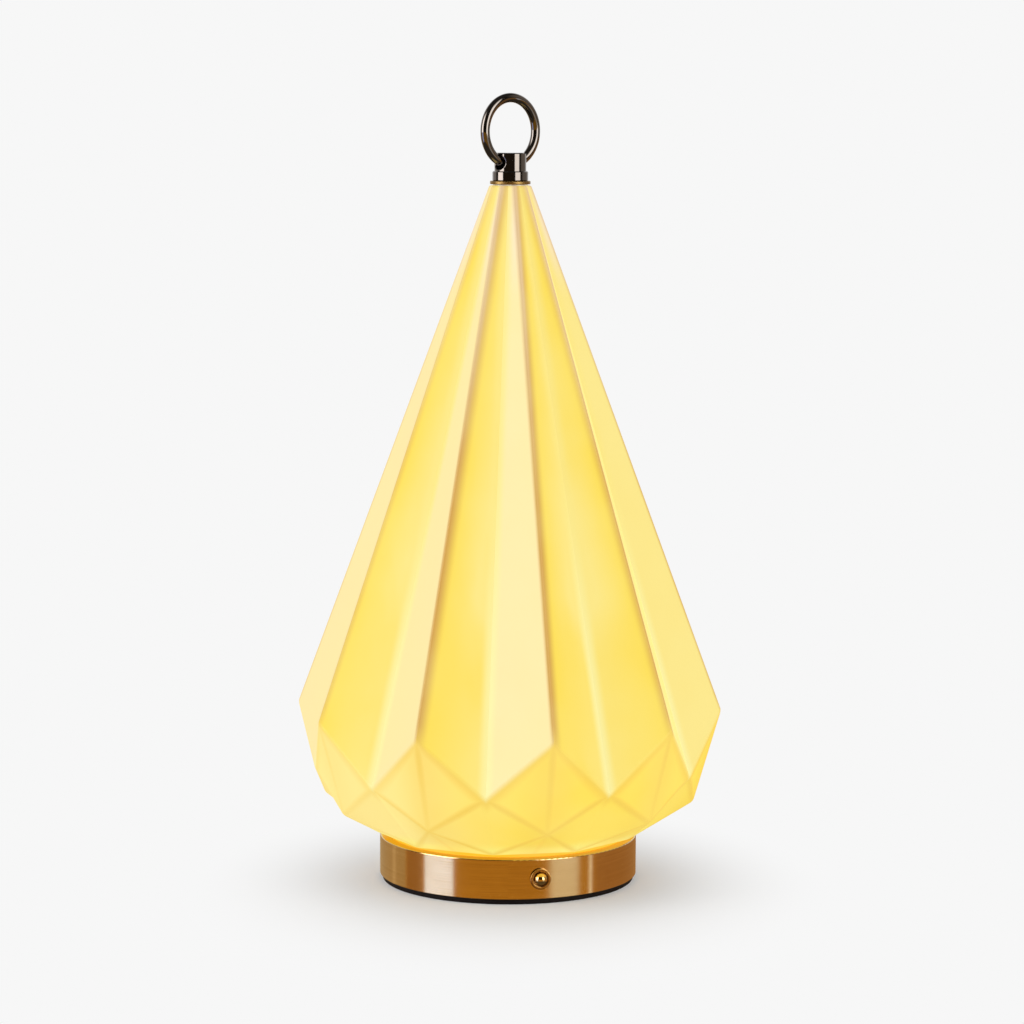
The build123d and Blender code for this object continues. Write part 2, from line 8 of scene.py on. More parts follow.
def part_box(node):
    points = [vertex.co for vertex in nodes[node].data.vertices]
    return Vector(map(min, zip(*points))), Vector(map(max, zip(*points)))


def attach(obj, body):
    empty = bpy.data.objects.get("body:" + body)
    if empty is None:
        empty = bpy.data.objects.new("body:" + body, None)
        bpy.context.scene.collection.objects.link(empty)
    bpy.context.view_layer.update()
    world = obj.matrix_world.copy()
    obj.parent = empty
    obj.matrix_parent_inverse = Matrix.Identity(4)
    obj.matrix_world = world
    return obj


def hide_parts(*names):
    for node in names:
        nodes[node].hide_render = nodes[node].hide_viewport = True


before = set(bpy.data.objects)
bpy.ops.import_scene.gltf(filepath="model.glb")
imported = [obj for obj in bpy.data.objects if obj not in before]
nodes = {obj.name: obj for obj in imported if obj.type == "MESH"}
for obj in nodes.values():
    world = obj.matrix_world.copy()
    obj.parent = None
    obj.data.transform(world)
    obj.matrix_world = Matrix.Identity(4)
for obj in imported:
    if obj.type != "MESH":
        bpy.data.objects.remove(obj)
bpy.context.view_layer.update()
mm = 0.001
quarterTurn = 0.25
print("frame loaded:", len(nodes), "nodes")


# small tools for building node trees
def addNode(tree, kind, **settings):
    node = tree.nodes.new(kind)
    for name, value in settings.items():
        setattr(node, name, value)
    return node


def feed(tree, socket, value):  # a link, or a plain value on the socket
    if isinstance(value, bpy.types.NodeSocket):
        tree.links.new(value, socket)
    else:
        socket.default_value = value


def sums(tree, operation, *values, clamp=False):
    node = addNode(tree, "ShaderNodeMath", operation=operation, use_clamp=clamp)
    for socket, value in zip(node.inputs, values):
        feed(tree, socket, value)
    return node.outputs[0]


def times(tree, first, second):
    return sums(tree, "MULTIPLY", first, second)


def plus(tree, first, second):
    return sums(tree, "ADD", first, second)


def minus(tree, first, second):
    return sums(tree, "SUBTRACT", first, second)


def larger(tree, first, second):
    return sums(tree, "MAXIMUM", first, second)


def fade(tree, value, start, end, low=0.0, high=1.0, kind="SMOOTHSTEP"):  # low at start, high at end
    node = addNode(tree, "ShaderNodeMapRange", interpolation_type=kind)
    for socket, item in zip(node.inputs, (value, start, end, low, high)):
        feed(tree, socket, item)
    return node.outputs[0]


def grey(level):
    return (level, level, level)


def asColour(value):
    return value if isinstance(value, bpy.types.NodeSocket) else (*value, 1)


def mixColour(tree, amount, first, second, blend="MIX"):
    node = addNode(tree, "ShaderNodeMix", data_type="RGBA", blend_type=blend)
    feed(tree, node.inputs[0], amount)
    feed(tree, node.inputs[6], asColour(first))  # 6 and 7 are the node's two colours
    feed(tree, node.inputs[7], asColour(second))
    return node.outputs[2]


def dimmed(tree, colour, level):
    return mixColour(tree, 1.0, colour, level, "MULTIPLY")


def noise(tree, place, scale, detail=3.0, roughness=0.5):
    node = addNode(tree, "ShaderNodeTexNoise")
    feed(tree, node.inputs["Vector"], place)
    feed(tree, node.inputs["Scale"], scale)
    feed(tree, node.inputs["Detail"], detail)
    feed(tree, node.inputs["Roughness"], roughness)
    return node.outputs[0]


def stretched(tree, place, scale, shift=(0, 0, 0)):
    node = addNode(tree, "ShaderNodeMapping")
    feed(tree, node.inputs["Vector"], place)
    node.inputs["Scale"].default_value = scale
    node.inputs["Location"].default_value = shift
    return node.outputs[0]


def newMaterial(name):  # a material with its tree, shader and Object coordinates
    material = bpy.data.materials.new(name)
    material.use_nodes = True
    tree = material.node_tree
    shader = tree.nodes["Principled BSDF"]
    place = addNode(tree, "ShaderNodeTexCoord").outputs["Object"]
    return material, tree, shader, place


def bump(tree, shader, height, strength, distance):
    node = addNode(tree, "ShaderNodeBump")
    feed(tree, node.inputs["Strength"], strength)
    feed(tree, node.inputs["Distance"], distance)
    feed(tree, node.inputs["Height"], height)
    feed(tree, shader.inputs["Normal"], node.outputs[0])


def addObject(name, data):
    thing = bpy.data.objects.new(name, data)
    bpy.context.scene.collection.objects.link(thing)
    return thing


def dress(piece, material):
    piece.data.materials.clear()
    piece.data.materials.append(material)


# camera and studio, in metres and degrees: azimuths run from the front, to the right
studio = {
    "cameraDistance": 1.3,
    "cameraHeight": 0.2963,
    "cameraTilt": 83.05,
    "cameraRoll": 0.2,
    "lens": 124.0,
    "sideShift": 0.0028,
    "aimHeight": 0.12,
    "backdrop": 0.93,
    "ambient": 0.8,
}
softboxes = {  # azimuth, distance, height, the panel's two sides, watts and colour
    "keyLight": (-64, 1.5, 0.75, (0.84, 1.3), 10.0, (1, 1, 1)),
    "fillLight": (57, 1.6, 0.6, (1.0, 1.2), 10.0, (1, 0.96, 0.9)),
}
floorLook = {
    "reach": 30.0,
    "paper": (0.88, 0.88, 0.88),
    "palePaper": (0.9, 0.9, 0.9),
    "grain": 900.0,
    "shadowStart": 0.045,
    "shadowEnd": 0.15,
    "shadowStretch": (1.25, 1, 1),
    "shadowShift": (0, 0.014, 0),
    "shadowGlow": 0.13,
    "shadowShare": 0.85,
}
# what shiny pieces mirror. A panel is: from azimuth, to azimuth, edge softness, and its light
highRoom = {
    "front": (0.035, 0.025, 0.018),
    "ceiling": (0.06, 0.055, 0.05),
    "panels": {
        "leftWall": (-180, -103, 5, (0.6, 0.56, 0.53)),
        "leftPanel": (-84, -49, 2, (4.8, 4.6, 4.45)),
        "rightPanel": (33, 67, 3, (3.9, 3.75, 3.55)),
        "rightWall": (84, 180, 8, (0.4, 0.35, 0.3)),
    },
}
lowRoom = {
    "front": (0.51, 0.26, 0.038),
    "ground": (0.1, 0.08, 0.06),
    "panels": {
        "leftWall": (-180, -104, 3, (0.47, 0.34, 0.175)),
        "leftStreak": (-127, -121, 2, (0.6, 0.46, 0.27)),
        "leftGap": (-103, -83, 2, (0.37, 0.185, 0.055)),
        "leftPanel": (-80, -50, 1.5, (1.1, 1.32, 2.2)),
        "rightPanel": (38, 66, 4, (0.78, 0.75, 0.7)),
        "rightLine": (77.5, 81, 0.6, (1.05, 1.05, 1.1)),
        "rightWall": (84, 180, 6, (0.4, 0.205, 0.07)),
    },
}
# where one light gives way to the next: by azimuth for the backdrop, by rise for the rest
roomSpans = {
    "backdrop": (125, 150),
    "ceiling": (0.45, 0.8),
    "horizon": (-0.075, -0.045),
    "ground": (-0.5, -0.4),
}


def makeCamera():
    data = bpy.data.cameras.new("camera")
    data.lens = studio["lens"]
    data.shift_x = studio["sideShift"]
    camera = addObject("camera", data)
    turn = Matrix.Rotation(math.radians(studio["cameraTilt"]), 4, "X")
    roll = Matrix.Rotation(math.radians(studio["cameraRoll"]), 4, "Z")
    spot = Matrix.Translation((0, -studio["cameraDistance"], studio["cameraHeight"]))
    camera.matrix_world = spot @ turn @ roll
    bpy.context.scene.camera = camera


def roomLight(tree, azimuth, room):  # panels standing round the lamp, over the front's light
    light = room["front"]
    for start, end, soft, colour in room["panels"].values():
        begins = fade(tree, azimuth, start - soft, start + soft)
        ends = fade(tree, azimuth, end + soft, end - soft)
        light = mixColour(tree, times(tree, begins, ends), light, colour)
    return light


def makeWorld():  # the camera sees the backdrop, dull surfaces the ambient light, shiny ones the room
    world = bpy.data.worlds.new("studioWorld")
    bpy.context.scene.world = world
    world.use_nodes = True
    world.cycles.sampling_method = "NONE"
    tree = world.node_tree
    split = addNode(tree, "ShaderNodeSeparateXYZ")
    feed(tree, split.inputs[0], addNode(tree, "ShaderNodeTexCoord").outputs["Generated"])
    across, along, rise = split.outputs
    azimuth = sums(tree, "DEGREES", sums(tree, "ARCTAN2", across, times(tree, along, -1.0)))
    backdrop = grey(studio["backdrop"])
    behind = fade(tree, sums(tree, "ABSOLUTE", azimuth), *roomSpans["backdrop"])
    high = mixColour(tree, behind, roomLight(tree, azimuth, highRoom), backdrop)
    high = mixColour(tree, fade(tree, rise, *roomSpans["ceiling"]), high, highRoom["ceiling"])
    low = roomLight(tree, azimuth, lowRoom)
    low = mixColour(tree, fade(tree, rise, *roomSpans["ground"]), lowRoom["ground"], low)
    room = mixColour(tree, fade(tree, rise, *roomSpans["horizon"]), low, high)
    rays = addNode(tree, "ShaderNodeLightPath").outputs
    mirrored = larger(tree, rays["Is Glossy Ray"], rays["Is Transmission Ray"])
    lit = mixColour(tree, mirrored, grey(studio["ambient"]), room)
    shine = tree.nodes["Background"]
    feed(tree, shine.inputs["Color"], mixColour(tree, rays["Is Camera Ray"], lit, backdrop))
    shine.inputs["Strength"].default_value = 1.0


def makeFloor():  # the lamp's soft shadow near it, and the backdrop's own colour farther out
    mesh = bpy.data.meshes.new("floor")
    reach = floorLook["reach"]
    corners = [(-reach, -reach, 0), (reach, -reach, 0), (reach, reach, 0), (-reach, reach, 0)]
    mesh.from_pydata(corners, [], [(0, 1, 2, 3)])
    floor = addObject("floor", mesh)
    material, tree, shader, place = newMaterial("paleFloor")
    tree.nodes.remove(shader)
    away = addNode(tree, "ShaderNodeVectorMath", operation="LENGTH")
    spread = stretched(tree, place, floorLook["shadowStretch"], floorLook["shadowShift"])
    feed(tree, away.inputs[0], spread)
    near = fade(tree, away.outputs["Value"], floorLook["shadowEnd"], floorLook["shadowStart"])
    seen = addNode(tree, "ShaderNodeLightPath").outputs["Is Camera Ray"]
    paper = addNode(tree, "ShaderNodeBsdfDiffuse")
    grain = noise(tree, place, floorLook["grain"])
    feed(tree, paper.inputs["Color"], mixColour(tree, grain, floorLook["paper"], floorLook["palePaper"]))
    nothing = addNode(tree, "ShaderNodeBsdfTransparent")
    nothing.inputs["Color"].default_value = (0, 0, 0, 1)
    surface = addNode(tree, "ShaderNodeMixShader")
    shown = times(tree, near, floorLook["shadowShare"])
    feed(tree, surface.inputs[0], times(tree, seen, minus(tree, 1.0, shown)))
    tree.links.new(paper.outputs[0], surface.inputs[1])
    tree.links.new(nothing.outputs[0], surface.inputs[2])
    glow = addNode(tree, "ShaderNodeEmission")
    darker = times(tree, near, floorLook["shadowGlow"] - studio["backdrop"])
    feed(tree, glow.inputs["Strength"], times(tree, seen, plus(tree, darker, studio["backdrop"])))
    both = addNode(tree, "ShaderNodeAddShader")
    tree.links.new(surface.outputs[0], both.inputs[0])
    tree.links.new(glow.outputs[0], both.inputs[1])
    tree.links.new(both.outputs[0], tree.nodes["Material Output"].inputs["Surface"])
    dress(floor, material)
    floor.visible_glossy = False


def softbox(name, azimuth, distance, height, size, watts, colour):
    data = bpy.data.lights.new(name, "AREA")
    data.shape = "RECTANGLE"
    data.size, data.size_y = size
    data.energy = watts
    data.color = colour
    light = addObject(name, data)
    turn = math.radians(azimuth)
    light.location = (distance * math.sin(turn), -distance * math.cos(turn), height)
    aim = Vector((0, 0, studio["aimHeight"])) - light.location
    light.rotation_euler = aim.to_track_quat("-Z", "Y").to_euler()
    light.visible_camera = False
    light.visible_glossy = False  # shiny pieces mirror the room's own panels instead


makeCamera()
makeWorld()
makeFloor()
for name, spec in softboxes.items():
    softbox(name, *spec)
print("studio ready")


# folded china shade
shadeSizes = {
    "Ridge Count": 10,
    "First Ridge": math.radians(11.7),
    "Crown Height": 258.7 * mm,
    "Apex Rise": 21.6 * mm,
    "Girdle Radius": 79.6 * mm,
    "Girdle Height": 65.4 * mm,
    "Valley Radius": 73.1 * mm,
    "Valley Height": 43.9 * mm,
    "Lower Radius": 69.4 * mm,
    "Lower Height": 30.3 * mm,
    "Hem Radius": 49.5 * mm,
    "Hem Height": 18.8 * mm,
    "Foot Radius": 45.5 * mm,
    "Foot Height": 17.3 * mm,
    "Mouth Radius": 43.0 * mm,
    "Rod Hole": 4.3 * mm,
}
shadeFinish = {
    "wall": 2.3 * mm,
    "foldRound": 0.75 * mm,
    "foldSteps": 3,
    "foldAngle": math.radians(6),
    "mergeGap": 0.01 * mm,
}


def newTree(name, inputs):  # a Geometry Nodes tree with an input for each size and its finish
    tree = bpy.data.node_groups.new(name, "GeometryNodeTree")
    tree.interface.new_socket("Geometry", in_out="INPUT", socket_type="NodeSocketGeometry")
    for label, value in inputs.items():
        kind = "NodeSocketInt" if isinstance(value, int) else "NodeSocketFloat"
        socket = tree.interface.new_socket(label, in_out="INPUT", socket_type=kind)
        socket.default_value = value
    tree.interface.new_socket("Finish", in_out="INPUT", socket_type="NodeSocketMaterial")
    tree.interface.new_socket("Geometry", in_out="OUTPUT", socket_type="NodeSocketGeometry")
    return tree, addNode(tree, "NodeGroupInput").outputs, addNode(tree, "NodeGroupOutput").inputs


def choose(tree, index, values):  # the value whose number is the index
    node = addNode(tree, "GeometryNodeIndexSwitch", data_type="FLOAT")
    while len(node.index_switch_items) < len(values):
        node.index_switch_items.new()
    feed(tree, node.inputs["Index"], index)
    for number, value in enumerate(values):
        feed(tree, node.inputs[str(number)], value)
    return node.outputs[0]


def foldedShadeTree():
    tree, size, result = newTree("foldedShade", shadeSizes)
    crown, foot = size["Crown Height"], size["Foot Height"]
    apex = plus(tree, crown, size["Apex Rise"])
    halfPitch = sums(tree, "DIVIDE", math.pi, size["Ridge Count"])
    hemChord = times(tree, size["Hem Radius"], sums(tree, "COSINE", halfPitch))

    def atCrown(radius, height):  # radius on the crown of a straight fold that runs to the apex
        taper = sums(tree, "DIVIDE", radius, minus(tree, apex, height))
        return times(tree, taper, size["Apex Rise"])

    crownRidge = atCrown(size["Girdle Radius"], size["Girdle Height"])
    crownValley = atCrown(size["Valley Radius"], size["Valley Height"])
    foldRings = (  # radius and height on a ridge, then in a valley, from the rod hole to the mouth
        (size["Rod Hole"], crown, size["Rod Hole"], crown),
        (crownRidge, crown, crownValley, crown),
        (size["Girdle Radius"], size["Girdle Height"], size["Valley Radius"], size["Valley Height"]),
        (size["Lower Radius"], size["Lower Height"], size["Hem Radius"], size["Hem Height"]),
        (hemChord, size["Hem Height"], size["Hem Radius"], size["Hem Height"]),
        (size["Foot Radius"], foot, size["Foot Radius"], foot),
        (size["Mouth Radius"], foot, size["Mouth Radius"], foot),
    )
    ridgeRadii, ridgeHeights, valleyRadii, valleyHeights = zip(*foldRings)
    rows = len(foldRings)
    grid = addNode(tree, "GeometryNodeMeshGrid")
    grid.inputs["Vertices X"].default_value = 2
    grid.inputs["Vertices Y"].default_value = rows
    index = addNode(tree, "GeometryNodeInputIndex").outputs[0]
    ring = sums(tree, "ROUND", sums(tree, "MODULO", index, rows))
    # the first column is the ridge and the second the valley: the half keeps clear of rounding
    side = sums(tree, "FLOOR", sums(tree, "DIVIDE", plus(tree, index, 0.5), rows))

    def onSide(ridge, valley):
        ridgeValue, valleyValue = choose(tree, ring, ridge), choose(tree, ring, valley)
        return plus(tree, ridgeValue, times(tree, side, minus(tree, valleyValue, ridgeValue)))

    radius = onSide(ridgeRadii, valleyRadii)
    angle = times(tree, side, halfPitch)
    spot = addNode(tree, "ShaderNodeCombineXYZ")
    feed(tree, spot.inputs[0], times(tree, radius, sums(tree, "SINE", angle)))
    feed(tree, spot.inputs[1], times(tree, radius, times(tree, sums(tree, "COSINE", angle), -1.0)))
    feed(tree, spot.inputs[2], onSide(ridgeHeights, valleyHeights))
    placed = addNode(tree, "GeometryNodeSetPosition")
    feed(tree, placed.inputs["Geometry"], grid.outputs["Mesh"])
    feed(tree, placed.inputs["Position"], spot.outputs[0])
    cut = addNode(tree, "GeometryNodeTriangulate", quad_method="SHORTEST_DIAGONAL")
    feed(tree, cut.inputs["Mesh"], placed.outputs[0])
    mirrored = addNode(tree, "GeometryNodeTransform")
    feed(tree, mirrored.inputs["Geometry"], cut.outputs[0])
    mirrored.inputs["Scale"].default_value = (-1, 1, 1)
    flipped = addNode(tree, "GeometryNodeFlipFaces")  # the first half's faces look inwards as they come
    feed(tree, flipped.inputs["Mesh"], cut.outputs[0])
    pleat = addNode(tree, "GeometryNodeJoinGeometry")
    tree.links.new(flipped.outputs[0], pleat.inputs[0])
    tree.links.new(mirrored.outputs[0], pleat.inputs[0])
    # the pleat is repeated round the axis
    spots = addNode(tree, "GeometryNodePoints")
    feed(tree, spots.inputs["Count"], size["Ridge Count"])
    number = addNode(tree, "GeometryNodeInputIndex").outputs[0]
    turn = addNode(tree, "ShaderNodeCombineXYZ")
    turned = times(tree, number, times(tree, halfPitch, 2.0))
    feed(tree, turn.inputs[2], plus(tree, size["First Ridge"], turned))
    repeat = addNode(tree, "GeometryNodeInstanceOnPoints")
    feed(tree, repeat.inputs["Points"], spots.outputs[0])
    feed(tree, repeat.inputs["Instance"], pleat.outputs[0])
    feed(tree, repeat.inputs["Rotation"], turn.outputs[0])
    real = addNode(tree, "GeometryNodeRealizeInstances")
    feed(tree, real.inputs[0], repeat.outputs[0])
    merged = addNode(tree, "GeometryNodeMergeByDistance")
    feed(tree, merged.inputs["Geometry"], real.outputs[0])
    merged.inputs["Distance"].default_value = shadeFinish["mergeGap"]
    finish = addNode(tree, "GeometryNodeSetMaterial")
    feed(tree, finish.inputs["Geometry"], merged.outputs[0])
    feed(tree, finish.inputs["Material"], size["Finish"])
    feed(tree, result[0], finish.outputs[0])
    return tree


def grow(name, tree, values, material):  # an empty mesh that carries the tree
    piece = addObject(name, bpy.data.meshes.new(name))
    modifier = piece.modifiers.new("tree", "NODES")
    modifier.node_group = tree
    given = {**values, "Finish": material}
    for item in tree.interface.items_tree:
        if item.item_type == "SOCKET" and item.in_out == "INPUT" and item.name in given:
            modifier[item.identifier] = given[item.name]
    return piece


def settle(piece):  # the evaluated shape becomes the piece's plain mesh
    graph = bpy.context.evaluated_depsgraph_get()
    evaluated = piece.evaluated_get(graph)
    mesh = bpy.data.meshes.new_from_object(evaluated, preserve_all_data_layers=True, depsgraph=graph)
    mesh.name = piece.name
    piece.modifiers.clear()
    piece.data = mesh


def makeShade(material):
    piece = grow("foldedShade", foldedShadeTree(), shadeSizes, material)
    wall = piece.modifiers.new("wall", "SOLIDIFY")
    wall.thickness = shadeFinish["wall"]
    wall.offset = -1
    wall.use_even_offset = True
    folds = piece.modifiers.new("folds", "BEVEL")
    folds.width = shadeFinish["foldRound"]
    folds.segments = shadeFinish["foldSteps"]
    folds.limit_method = "ANGLE"
    folds.angle_limit = shadeFinish["foldAngle"]
    folds.use_clamp_overlap = False
    settle(piece)
    piece.data.shade_smooth()
    level = piece.modifiers.new("level", "WEIGHTED_NORMAL")  # broad facets stay flat beside the folds
    level.mode = "FACE_AREA"
    level.weight = 100
    settle(piece)
    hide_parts("shade")
    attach(piece, "lamp")


chinaLook = {
    "gold": (0.985, 0.8, 0.225),
    # painted shade beside each ridge on its shaded side, also the tone of random streaks
    "shadeAndStreakGold": (0.985, 0.735, 0.085),
    # cream, its top tone and pale gold are painted light where the key and fill lights fall
    "litCream": (0.985, 0.81, 0.385),
    "litCreamTop": (0.97, 0.8, 0.56),
    "litPaleGold": (0.975, 0.8, 0.25),
    "valleyHigh": (0.98, 0.8, 0.22),
    "valleyLow": (0.98, 0.9, 0.38),
    # painted shade along each ridge
    "ridgeShadeBrown": (0.665, 0.375, 0.082),
    "ridgeShadeMauve": (0.76, 0.53, 0.28),
    "lowerGold": (0.985, 0.735, 0.1),
    # painted light from the left on the lower facets
    "litLowerCream": (0.985, 0.785, 0.27),
    # painted shade along the lower folds and under the girdle
    "foldShadeTan": (0.86, 0.56, 0.08),
    "hemPale": (0.98, 0.85, 0.21),
    "hemAmber": (0.98, 0.56, 0.02),
    "thrown": (0.02, 0.015, 0.005),
    "lightFrom": math.radians(70),
    # where the painted light on the lower facets comes from
    "leftLightFrom": math.radians(80),
    "flankFrom": 0.95,  # sine of a ridge's azimuth from which it stands on the lamp's flank
    "glow": 0.83,
    "lowerGlow": 0.9,
    "skin": 0.15,
    "specular": 0.3,
    "coat": 0.08,
    "coatRoughness": 0.22,
    "softDetail": 2.0,
    "streakScale": (70, 70, 14),
    "cloudScale": 30.0,
    "roughScale": 60.0,
    "waveScale": 45.0,
    "grainScale": 1600.0,
    "grainShare": 0.02,
    "glazeRelief": 0.25,
    "glazeDepth": 0.6 * mm,
}
# a span is: from, to, and what it gives at each end, or else 0 and 1. Heights and widths are in mm
chinaSpans = {
    "upperPart": (-2.2, 1.3),
    "clouds": (0.35, 0.65, 0.0, 0.12),
    "roughness": (0.3, 0.7, 0.4, 0.48),
}
pleatSpans = {
    "deepGoldFrom": 1.5,  # it fades out from here to its reach
    "deepGoldReach": (85, 115, 26, 11),
    "streaks": (0.42, 0.72, 0, 0.4),
    "keyLitSide": (-0.2, 0.1),
    "litCreamTop": (215, 250),
    "sunnySide": (0.5, -0.5),
    "valleyTone": (170, 75),
    "valleyWidth": (3.6, 0, 0, 0.85),
    "mauveHeight": (140, 240),
    "mauveWidth": (1.6, 0.4, 0.3, 1),
    "lineShift": (0.1, -0.3, 0, 0.9),
    "lineShiftEnd": (-0.85, -0.6),
    "lineEdge": (-1.5, 0),
    "lineReach": (0.75, 0.95, 3.7, 2.3),
    "lineDepth": (0.75, 0.95, 1, 0.55),
    "lineAtGirdle": (-1, 7, 0.6, 1),
}
lowerSpans = {
    "keyLitSide": (0, 0.95),
    "hemTone": (25, 19.3),
    "keelWidth": (3.2, 0),
    "keelDepth": (26, 62, 0.45, 0.7),
    "keelHalo": (14, 0, 0, 0.3),
    "underGirdle": (-7, -1, 0, 0.6),
    "middleFold": (2.6, 0, 0, 0.62),
    "hemFold": (2.0, 0, 0, 0.58),
    "leftFolds": (0.55, 0.95, 1, 0.45),
    "underside": (18.9, 18.5),
}


def foldPoint(name):  # radius and height of a fold's end, in mm
    return shadeSizes[name + " Radius"] / mm, shadeSizes[name + " Height"] / mm


def foldMasks():  # distances in mm from the folds, and which way each pleat faces
    tree = bpy.data.node_groups.new("foldMasks", "ShaderNodeTree")
    tree.interface.new_socket("Place", in_out="INPUT", socket_type="NodeSocketVector")
    inMm = addNode(tree, "ShaderNodeVectorMath", operation="SCALE")
    feed(tree, inMm.inputs[0], addNode(tree, "NodeGroupInput").outputs[0])
    inMm.inputs["Scale"].default_value = 1 / mm
    split = addNode(tree, "ShaderNodeSeparateXYZ")
    feed(tree, split.inputs[0], inMm.outputs[0])
    across, along, height = split.outputs
    radius = sums(tree, "SQRT", plus(tree, times(tree, across, across), times(tree, along, along)))
    azimuth = sums(tree, "ARCTAN2", across, times(tree, along, -1.0))
    half = math.pi / shadeSizes["Ridge Count"]
    offRidge = sums(tree, "WRAP", minus(tree, azimuth, shadeSizes["First Ridge"]), half, -half)
    away = sums(tree, "ABSOLUTE", offRidge)
    ridgeAzimuth = minus(tree, azimuth, offRidge)
    # painted shade falls on the side of a ridge turned from the painted key light: its right on the lamp's
    # left, its left on the right
    swing = sums(tree, "COSINE", plus(tree, ridgeAzimuth, chinaLook["lightFrom"]))
    shaded = times(tree, sums(tree, "SIGN", offRidge), sums(tree, "SIGN", swing))
    # the two flank ridges have their shaded side to the back
    flank = sums(tree, "ABSOLUTE", sums(tree, "SINE", ridgeAzimuth))
    shaded = times(tree, shaded, sums(tree, "SIGN", minus(tree, chinaLook["flankFrom"], flank)))
    slope = sums(tree, "TANGENT", away)

    def overFold(start, end):  # height over the straight fold from a ridge point to a valley point
        endAcross, endAlong = end[0] * math.sin(half), end[0] * math.cos(half)
        under = plus(tree, times(tree, slope, start[0] - endAlong), endAcross)
        share = sums(tree, "DIVIDE", times(tree, slope, start[0]), under)
        fold = plus(tree, times(tree, share, end[1] - start[1]), start[1])
        return minus(tree, height, fold)

    masks = {
        "Ridge": times(tree, sums(tree, "SINE", away), radius),
        "Valley": times(tree, sums(tree, "SINE", minus(tree, half, away)), radius),
        "Shaded": shaded,
        "Swing": swing,
        # how far a point faces the painted light from the left
        "Left": sums(tree, "COSINE", plus(tree, azimuth, chinaLook["leftLightFrom"])),
        "Height": height,
        "OverGirdle": overFold(foldPoint("Girdle"), foldPoint("Valley")),
        "OverMiddle": overFold(foldPoint("Lower"), foldPoint("Valley")),
        "OverHem": overFold(foldPoint("Lower"), foldPoint("Hem")),
    }
    for label in masks:
        tree.interface.new_socket(label, in_out="OUTPUT", socket_type="NodeSocketFloat")
    result = addNode(tree, "NodeGroupOutput").inputs
    for label, mask in masks.items():
        feed(tree, result[label], mask)
    return tree


# painted light and shade: cream and pale gold are painted light, the deep gold and brown line beside each
# ridge painted shade
def upperPleats(tree, mask, place):  # gold on the shaded side of each ridge, cream on the other
    span = pleatSpans
    # painted shade: deeper gold near each ridge on its shaded side, fading out within its reach
    goldReach = fade(tree, mask["Height"], *span["deepGoldReach"])
    offDeep = fade(tree, mask["Ridge"], span["deepGoldFrom"], goldReach, kind="LINEAR")
    shade = mixColour(tree, offDeep, chinaLook["shadeAndStreakGold"], chinaLook["gold"])
    streak = noise(tree, stretched(tree, place, chinaLook["streakScale"]), 1.0, chinaLook["softDetail"])
    shade = mixColour(tree, fade(tree, streak, *span["streaks"]), shade, chinaLook["shadeAndStreakGold"])
    # painted light: cream where the key light falls, pale gold where the fill light falls
    keyLitSide = fade(tree, mask["Swing"], *span["keyLitSide"])
    sunny = mixColour(tree, keyLitSide, chinaLook["litPaleGold"], chinaLook["litCream"])
    sunny = mixColour(tree, fade(tree, mask["Height"], *span["litCreamTop"]), sunny, chinaLook["litCreamTop"])
    paint = mixColour(tree, fade(tree, mask["Shaded"], *span["sunnySide"]), shade, sunny)
    tone = fade(tree, mask["Height"], *span["valleyTone"])
    valley = mixColour(tree, tone, chinaLook["valleyHigh"], chinaLook["valleyLow"])
    paint = mixColour(tree, fade(tree, mask["Valley"], *span["valleyWidth"]), paint, valley)
    # painted shade: a brown line beside each ridge, on its shaded side
    mauve = fade(tree, mask["Height"], *span["mauveHeight"])
    mauve = times(tree, mauve, fade(tree, mask["Ridge"], *span["mauveWidth"]))
    ridgeShade = mixColour(tree, mauve, chinaLook["ridgeShadeBrown"], chinaLook["ridgeShadeMauve"])
    shift = fade(tree, mask["Swing"], *span["lineShift"])
    shift = times(tree, shift, fade(tree, mask["Swing"], *span["lineShiftEnd"]))
    offLine = plus(tree, times(tree, mask["Ridge"], mask["Shaded"]), shift)
    lineReach = fade(tree, mask["Swing"], *span["lineReach"])
    line = sums(tree, "MINIMUM", fade(tree, offLine, *span["lineEdge"]), fade(tree, offLine, lineReach, 0))
    line = times(tree, line, fade(tree, mask["Swing"], *span["lineDepth"]))
    line = times(tree, line, fade(tree, mask["OverGirdle"], *span["lineAtGirdle"]))
    return mixColour(tree, line, paint, ridgeShade)


# painted light and shade: cream where painted light from the left falls, tan painted shade along the folds
def lowerFolds(tree, mask):  # facets under the girdle, with a tan line along each fold
    span = lowerSpans
    keyLitSide = fade(tree, mask["Left"], *span["keyLitSide"])
    paint = mixColour(tree, keyLitSide, chinaLook["lowerGold"], chinaLook["litLowerCream"])
    paint = mixColour(tree, fade(tree, mask["Height"], *span["hemTone"]), paint, chinaLook["hemPale"])
    keel = fade(tree, mask["Ridge"], *span["keelWidth"])
    keel = times(tree, keel, fade(tree, mask["Height"], *span["keelDepth"]))
    keel = larger(tree, keel, fade(tree, mask["Ridge"], *span["keelHalo"]))
    # painted shade under the girdle's overhang and along each fold, weaker where painted light from the
    # left falls
    under = fade(tree, mask["OverGirdle"], *span["underGirdle"])
    middle = fade(tree, sums(tree, "ABSOLUTE", mask["OverMiddle"]), *span["middleFold"])
    hem = fade(tree, sums(tree, "ABSOLUTE", mask["OverHem"]), *span["hemFold"])
    paintedFoldShade = larger(tree, larger(tree, keel, under), larger(tree, middle, hem))
    paintedFoldShade = times(tree, paintedFoldShade, fade(tree, mask["Left"], *span["leftFolds"]))
    paint = mixColour(tree, paintedFoldShade, paint, chinaLook["foldShadeTan"])
    return mixColour(tree, fade(tree, mask["Height"], *span["underside"]), paint, chinaLook["hemAmber"])


